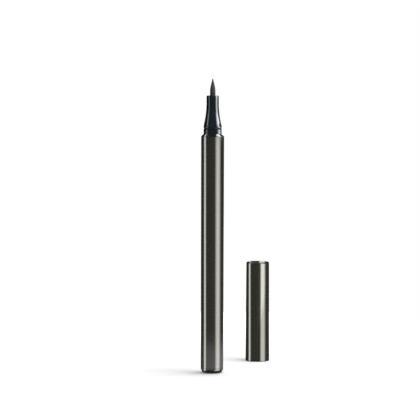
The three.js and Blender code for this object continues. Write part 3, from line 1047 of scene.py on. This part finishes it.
# Brightness of the panels at bearings in degrees from the camera's side, right positive
DARK = 0.008
DIM = 0.013
FRONT = 0.026
BODY_STRIPES = (
    (-101, DARK), (-96, 0.07), (-90, 0.57), (-82, 0.96), (-75, 0.8), (-69, 0.5), (-63, FRONT), (13, FRONT),
    (22, 0.04), (30, 0.16), (40, 0.66), (50, 0.93), (60, 0.95), (70, 0.87), (80, 0.5), (90, 0.15),
    (100, DARK),
)
LOW_STRIPES = (
    (-172, DARK), (-164, 0.5), (-146, 0.5), (-138, DARK), (-103, DARK), (-95, 0.8), (-72, 0.8), (-63, DARK),
    (13, DARK), (40, 0.8), (61, 0.8), (95, DARK), (118, DARK), (128, 0.5), (146, 0.5), (156, DARK),
)
NOZZLE_STRIPES = (
    (-98, 0.002), (-92, 0.1), (-84, 0.24), (-77, 0.16), (-71, 0.05), (-63, DIM), (56, DIM), (62, 0.04),
    (70, 0.2), (76, 0.4), (82, 0.56), (90, 0.74), (98, 0.86), (104, 0.8), (110, 0.5), (117, 0.1),
    (124, 0.03), (132, DIM), (176, DIM), (178.5, 0.12),
)
FLARE_STRIPES = (
    (-89, 0.002), (-84, 0.1), (-76, 0.24), (-70, 0.16), (-64, 0.05), (-57, DIM), (46, DIM), (52, 0.05),
    (58, 0.3), (64, 0.55), (70, 0.7), (78, 0.8), (90, 0.86), (98, 0.8), (104, 0.5), (111, 0.1),
    (118, 0.03), (125, DIM),
)
CHAMFER_STRIPES = (
    (-134, DIM), (-131, 0.55), (-127, 0.55), (-124, DIM), (106, DIM), (111, 0.9), (127, 0.9), (133, DIM),
)
FOOT_STRIPES = (
    (-125, 0), (-95, 0.25), (-75, 0.6), (-45, 1), (100, 1), (115, 0.7), (140, 0.2), (165, 0),
)

# The same close round the cap: its left stripe, its right one, its far edge and a gleam on its right
CAP_LEFT = (
    (-92, DARK), (-87, 0.015), (-81, 0.12), (-75, 0.55), (-69, 1.1), (-66, 1.1), (-62, 0.5), (-57, 0.18),
    (-52, 0.04), (-46, FRONT),
)
CAP_RIGHT = (
    (5, FRONT), (10, DARK), (18, 0.03), (24, 0.4), (31, 0.88), (39, 0.93), (48, 0.94), (56, 0.74),
    (65, 0.34), (72, 0.03), (80, DARK),
)
CAP_CROWN = (
    (163, DARK), (167, 0.12), (174, 0.12), (177, DARK), (191, DARK), (193, 0.09), (195, 0.09), (197, DARK),
)
CAP_GLEAM = (
    (15, 0.02), (24, 0.17), (32, 0.5), (40, 0.48), (48, 0.42), (56, 0.3), (65, 0.16), (72, 0.04), (80, 0),
)

# Changes with height in metres: how far stripes lean in degrees, and how much they draw in or brighten
BODY_LEAN = ((-0.163, -2.0), (0.055, 2.6))
CAP_LEAN = ((0.003, 0), (0.041, 7))
NOZZLE_SQUEEZE = ((0.1005, 1.0), (0.106, 1.0), (0.1125, 1.22), (0.1195, 1.22), (0.1235, 1.15))
NOZZLE_GAIN = ((0.1005, 0.85), (0.106, 0.85), (0.1125, 1.0), (0.1195, 1.0), (0.1235, 1.2))
FLARE_GAIN = ((0.1235, 1.2), (0.126, 1.35), (0.138, 1.06), (0.146, 1.0), (0.15, 0.1), (0.163, 0.05))
FOOT_FADE = ((0.0, 1), (0.005, 0.9), (0.009, 0.7), (0.0132, 0.2), (0.018, 0))
CAP_GAIN = ((0.0468, 1), (0.0474, 0.05), (0.0522, 0.05), (0.053, 1))
GLEAM_FADE = ((0.009, 0), (0.0163, 1))

# How far the gleam's lower edge climbs, in metres for each degree of bearing
GLEAM_CLIMB = 0.00025

# How clear the floor is to gloss, at metres from the nearer piece's axis
CONTACT_SHADE = ((0.0058, 0), (0.0078, 1))

# White that the floor adds to its own picture far off, and the metres from the pen between which it rises
FAR_LIFT = 0.6
FAR_FLOOR = (0.06, 0.18)

# How far the camera sees, in metres
CAMERA_REACH = 20

RAYS = ("camera", "diffuse", "glossy", "transmission", "volume_scatter", "shadow")


def show_only_to(ray, obj):
    """Hides a stage object from every kind of ray but one."""
    for kind in RAYS:
        setattr(obj, f"visible_{kind}", kind == ray)


def add_stage_mesh(name, shape, material):
    """Adds a bmesh as a stage object."""
    mesh = bpy.data.meshes.new(name)
    shape.to_mesh(mesh)
    shape.free()
    mesh.materials.append(material)
    made = bpy.data.objects.new(name, mesh)
    bpy.context.scene.collection.objects.link(made)
    return made


def bare_material(name):
    """A node material with only its output. Returns the material, its tree and the output's surface."""
    material = bpy.data.materials.new(name)
    material.use_nodes = True
    tree = material.node_tree
    tree.nodes.clear()
    return material, tree, add_node(tree, "ShaderNodeOutputMaterial").inputs["Surface"]


def glowing(tree, strength, tone=(1, 1, 1)):
    """A shader that gives light."""
    return add_node(tree, "ShaderNodeEmission", {"Color": (*tone, 1), "Strength": strength}).outputs[0]


def mixed(tree, share, first, second):
    """A shader that goes from the first to the second as share goes from 0 to 1."""
    return add_node(tree, "ShaderNodeMixShader", {0: share, 1: first, 2: second}).outputs[0]


def added(tree, first, second):
    """A shader that gives the light of both."""
    return add_node(tree, "ShaderNodeAddShader", {0: first, 1: second}).outputs[0]


def profile(tree, value, stops):
    """A brightness that follows stops of (value, brightness) as a value changes."""
    first, last = stops[0][0], stops[-1][0]
    ramp = add_node(tree, "ShaderNodeValToRGB", {"Fac": spread(tree, value, 0, 1, first, last)})
    elements = ramp.color_ramp.elements
    while len(elements) < len(stops):
        elements.new(0.5)
    for element, (place, level) in zip(elements, stops):
        element.position = (place - first) / (last - first)
        element.color = (level, level, level, 1)
    return ramp.outputs["Color"]


def floor_material(settings):
    """A pale matt floor, lifted to white in its own picture. Gloss sees only its shade under the pieces."""
    material, tree, surface = bare_material("pale_floor")
    path = add_node(tree, "ShaderNodeLightPath").outputs
    place = add_node(tree, "ShaderNodeTexCoord").outputs["Object"]

    def reach(node):
        """Distance from a piece's axis."""
        ends = {0: place, 1: (*axis_of(node), 0)}
        return add_node(tree, "ShaderNodeVectorMath", ends, operation="DISTANCE").outputs["Value"]

    pen, cap = reach("end_plug"), reach("cap_shell")
    rise = spread(tree, pen, settings.floor_lift, FAR_LIFT, *FAR_FLOOR)
    lift = calculate(tree, "MULTIPLY", path["Is Camera Ray"], rise)
    matt = add_node(tree, "ShaderNodeBsdfDiffuse", {"Color": (*settings.floor_colour, 1)}).outputs[0]
    seen = added(tree, matt, glowing(tree, lift))
    clear = add_node(tree, "ShaderNodeBsdfTransparent").outputs[0]
    clearness = profile(tree, calculate(tree, "MINIMUM", pen, cap), CONTACT_SHADE)
    mirrored = mixed(tree, clearness, glowing(tree, settings.wall_glow), clear)
    tree.links.new(mixed(tree, path["Is Glossy Ray"], seen, mirrored), surface)
    return material


def leaning(ends):
    """A warp that shifts stripes a little with height."""
    (low, shift_low), (high, shift_high) = ends

    def warp(tree, bearing, height):
        return calculate(tree, "ADD", bearing, spread(tree, height, shift_low, shift_high, low, high))

    return warp


def drawn_in(stops):
    """A warp that draws stripes in towards the front, by stops of (height, factor)."""
    return lambda tree, bearing, height: calculate(tree, "MULTIPLY", bearing, profile(tree, height, stops))


def by_height(stops):
    """A gain that follows stops of (height, gain)."""
    return lambda tree, bearing, height: profile(tree, height, stops)


def gleam_gain(tree, bearing, height):
    """A gain that fades out under a slanted lower edge, and over the cap's end."""
    level = calculate(tree, "MULTIPLY_ADD", bearing, -GLEAM_CLIMB, height)
    return calculate(tree, "MULTIPLY", profile(tree, level, GLEAM_FADE), profile(tree, height, CAP_GAIN))


def round_path(radius, centre=(0, 0), first=-180, last=180):
    """A path round an upright axis, of spots and their bearing from the camera's side."""
    path = []
    for i in range(LATHE_SIDES + 1):
        bearing = first + (last - first) * i / LATHE_SIDES
        turn = math.radians(bearing)
        path.append((centre[0] + radius * math.sin(turn), centre[1] - radius * math.cos(turn), bearing))
    return path


def upright_sheet(name, path, levels, material):
    """An upright stage sheet over a path, with a map of its bearings and heights."""
    low, high = levels
    shape = bmesh.new()
    layer = shape.loops.layers.uv.new("place")
    columns = [[shape.verts.new((x, y, z)) for z in levels] for x, y, _ in path]
    for i in range(len(path) - 1):
        left, right = columns[i], columns[i + 1]
        face = shape.faces.new((left[0], right[0], right[1], left[1]))
        for loop, (k, z) in zip(face.loops, ((i, low), (i + 1, low), (i + 1, high), (i, high))):
            loop[layer].uv = (path[k][2], z)
    return add_stage_mesh(name, shape, material)


def add_panel(name, path, levels, light, stops, warp=None, gain=None, clear=False, outside=None):
    """An upright panel that only gloss sees. stops give its brightness at the bearings of its path.

    light is its tone and glow. A clear panel adds its light to what lies behind it. A panel with a
    brightness outside shows its stops on its inside only.
    """
    tone, glow = light
    material, tree, surface = bare_material(name)
    split = add_node(tree, "ShaderNodeSeparateXYZ", {0: add_node(tree, "ShaderNodeTexCoord").outputs["UV"]})
    bearing, height = split.outputs["X"], split.outputs["Y"]
    level = profile(tree, warp(tree, bearing, height) if warp else bearing, stops)
    if gain:
        level = calculate(tree, "MULTIPLY", level, gain(tree, bearing, height))
    shown = glowing(tree, calculate(tree, "MULTIPLY", level, glow), tone)
    if clear:
        shown = added(tree, add_node(tree, "ShaderNodeBsdfTransparent").outputs[0], shown)
    if outside is not None:
        inside = add_node(tree, "ShaderNodeNewGeometry").outputs["Backfacing"]
        shown = mixed(tree, inside, glowing(tree, outside, tone), shown)
    tree.links.new(shown, surface)
    material.cycles.emission_sampling = "NONE"
    show_only_to("glossy", upright_sheet(name, path, levels, material))


def add_pen_panels(settings):
    """The panels that the barrel, the nozzle and the foot mirror."""
    far, near, low = round_path(BODY_RING), round_path(NOZZLE_RING), round_path(FOOT_RING)
    body = (settings.body_tone, settings.body_glow)
    nozzle = (settings.nozzle_tone, settings.nozzle_glow)
    foot = (settings.foot_tone, settings.foot_glow)
    squeeze, nozzle_gain = drawn_in(NOZZLE_SQUEEZE), by_height(NOZZLE_GAIN)
    plain = FRONT * settings.body_glow
    add_panel("body_stripes", far, BODY_LEVELS, body, BODY_STRIPES, leaning(BODY_LEAN))
    add_panel("low_stripes", far, LOW_LEVELS, body, LOW_STRIPES)
    add_panel("nozzle_stripes", near, NOZZLE_LEVELS, nozzle, NOZZLE_STRIPES, squeeze, nozzle_gain)
    add_panel("flare_stripes", near, FLARE_LEVELS, nozzle, FLARE_STRIPES, gain=by_height(FLARE_GAIN))
    add_panel("chamfer_stripes", near, CHAMFER_LEVELS, nozzle, CHAMFER_STRIPES)
    add_panel("foot_glow", low, FOOT_LEVELS, foot, FOOT_STRIPES, None, by_height(FOOT_FADE), True, plain)


def add_cap_panels(settings):
    """The panels that the cap mirrors: one at each side, one behind it and a clear one for the gleam."""
    light = (settings.body_tone, settings.body_glow)
    plain = FRONT * settings.body_glow
    dark_end = by_height(CAP_GAIN)
    for name, radius, first, last, stops, warp, gain, clear in (
        ("cap_left", CAP_RING, -CAP_BACK, 0, CAP_LEFT, leaning(CAP_LEAN), dark_end, False),
        ("cap_right", CAP_RING, 0, CAP_BACK, CAP_RIGHT, None, dark_end, False),
        ("cap_crown", CAP_RING, CAP_BACK, 360 - CAP_BACK, CAP_CROWN, None, None, False),
        ("cap_gleam", GLEAM_RING, 0, CAP_BACK, CAP_GLEAM, None, gleam_gain, True),
    ):
        path = round_path(radius, axis_of("cap_shell"), first, last)
        add_panel(name, path, CAP_LEVELS, light, stops, warp, gain, clear, plain)


def add_nib_flag():
    """A black sheet that keeps the room's light off the nib's left side."""
    material, tree, surface = bare_material("nib_flag")
    tree.links.new(add_node(tree, "ShaderNodeBsdfDiffuse", {"Color": (0, 0, 0, 1)}).outputs[0], surface)
    path = round_path(FLAG_RING, (0, 0), *FLAG_SIDE)
    show_only_to("diffuse", upright_sheet("nib_flag", path, FLAG_LEVELS, material))


def add_dark_walls(glow):
    """A dark shell beyond the panels that only gloss sees."""
    material, tree, surface = bare_material("dark_walls")
    tree.links.new(glowing(tree, glow), surface)
    material.cycles.emission_sampling = "NONE"
    shape = bmesh.new()
    bmesh.ops.create_icosphere(shape, subdivisions=4, radius=WALL_RADIUS)
    show_only_to("glossy", add_stage_mesh("dark_walls", shape, material))


def add_lamp(name, bearing, elevation, distance, width, height, watts):
    """A soft box that looks at the pen's foot. Neither the camera nor gloss sees it."""
    data = bpy.data.lights.new(name, "AREA")
    data.shape = "RECTANGLE"
    data.size = width
    data.size_y = height
    data.energy = watts
    lamp = bpy.data.objects.new(name, data)
    bpy.context.scene.collection.objects.link(lamp)
    turn, rise = math.radians(bearing), math.radians(elevation)
    away = Vector((math.sin(turn) * math.cos(rise), -math.cos(turn) * math.cos(rise), math.sin(rise)))
    lamp.location = away * distance
    lamp.rotation_mode = "QUATERNION"
    lamp.rotation_quaternion = (-away).to_track_quat("-Z", "Y")
    lamp.visible_camera = False
    lamp.visible_glossy = False


def add_camera(settings):
    """The camera, at its distance from the point that it looks at, and leaning a little."""
    data = bpy.data.cameras.new("camera")
    data.lens = settings.lens
    data.clip_end = CAMERA_REACH
    camera = bpy.data.objects.new("camera", data)
    bpy.context.scene.collection.objects.link(camera)
    back = Vector((0, -math.cos(settings.elevation), math.sin(settings.elevation)))
    upright = (-back).to_track_quat("-Z", "Y").to_matrix()
    rolled = upright @ Matrix.Rotation(settings.roll, 3, "Z")
    aim = Vector((settings.aim_x, 0, settings.aim_z))
    camera.matrix_world = Matrix.Translation(aim + back * settings.distance) @ rolled.to_4x4()
    bpy.context.scene.camera = camera


def add_world(settings):
    """White to the camera, to gloss and to what is seen through, and an even room light to the rest."""
    world = bpy.data.worlds.new("studio")
    world.use_nodes = True
    bpy.context.scene.world = world
    tree = world.node_tree
    tree.nodes.clear()
    path = add_node(tree, "ShaderNodeLightPath").outputs
    mirrored = calculate(tree, "MAXIMUM", path["Is Glossy Ray"], path["Is Transmission Ray"])
    seen = calculate(tree, "MAXIMUM", path["Is Camera Ray"], mirrored)
    room, white = (
        add_node(tree, "ShaderNodeBackground", {"Color": (1, 1, 1, 1), "Strength": strength}).outputs[0]
        for strength in (settings.room_light, 1.0)
    )
    surface = add_node(tree, "ShaderNodeOutputWorld").inputs["Surface"]
    tree.links.new(mixed(tree, seen, room, white), surface)


class MakeStage(bpy.types.Operator):
    """Sets the camera, the pale floor, the soft lamps and the panels that the gloss mirrors"""

    bl_idname = "eyebrow_pen.make_stage"
    bl_label = "Stage"

    def execute(self, context):
        settings = context.scene.pen_stage
        context.scene.view_settings.view_transform = "Standard"
        add_camera(settings)
        add_world(settings)
        shape = bmesh.new()
        bmesh.ops.create_circle(shape, cap_ends=True, segments=LATHE_SIDES, radius=settings.floor_radius)
        add_stage_mesh("floor", shape, floor_material(settings))
        for name, place in LAMPS.items():
            add_lamp(f"{name}_lamp", *place, getattr(settings, f"{name}_power"))
        add_nib_flag()
        add_pen_panels(settings)
        add_cap_panels(settings)
        add_dark_walls(settings.wall_glow)
        return {"FINISHED"}


OPERATORS = (
    MakeStage,
    MakeBarrel,
    MakeEndPlug,
    MakeMixingBalls,
    MakeNozzle,
    MakeNib,
    MakeNibHolder,
    MakeFeedRod,
    MakeCollector,
    MakeCapShell,
    MakeCapLiner,
    MakeInnerCap,
    MakeSpring,
)


class EyebrowPenPanel(bpy.types.Panel):
    """Lists the steps that build the pen"""

    bl_idname = "VIEW3D_PT_eyebrow_pen"
    bl_label = "Eyebrow Pen"
    bl_space_type = "VIEW_3D"
    bl_region_type = "UI"
    bl_category = "Eyebrow Pen"

    def draw(self, context):
        for step in OPERATORS:
            self.layout.operator(step.bl_idname)


SETTINGS = {
    "pen_sizes": PenSizes,
    "cap_sizes": CapSizes,
    "pen_finishes": FinishColours,
    "pen_stage": StageSettings,
}
CLASSES = (*SETTINGS.values(), *OPERATORS, EyebrowPenPanel)


def register():
    for each in CLASSES:
        bpy.utils.register_class(each)
    for name, group in SETTINGS.items():
        setattr(bpy.types.Scene, name, PointerProperty(type=group))


def unregister():
    for name in SETTINGS:
        delattr(bpy.types.Scene, name)
    for each in reversed(CLASSES):
        bpy.utils.unregister_class(each)


def main():
    register()
    for step in OPERATORS:
        family, name = step.bl_idname.split(".")
        getattr(getattr(bpy.ops, family), name)()


if __name__ == "__main__":
    main()
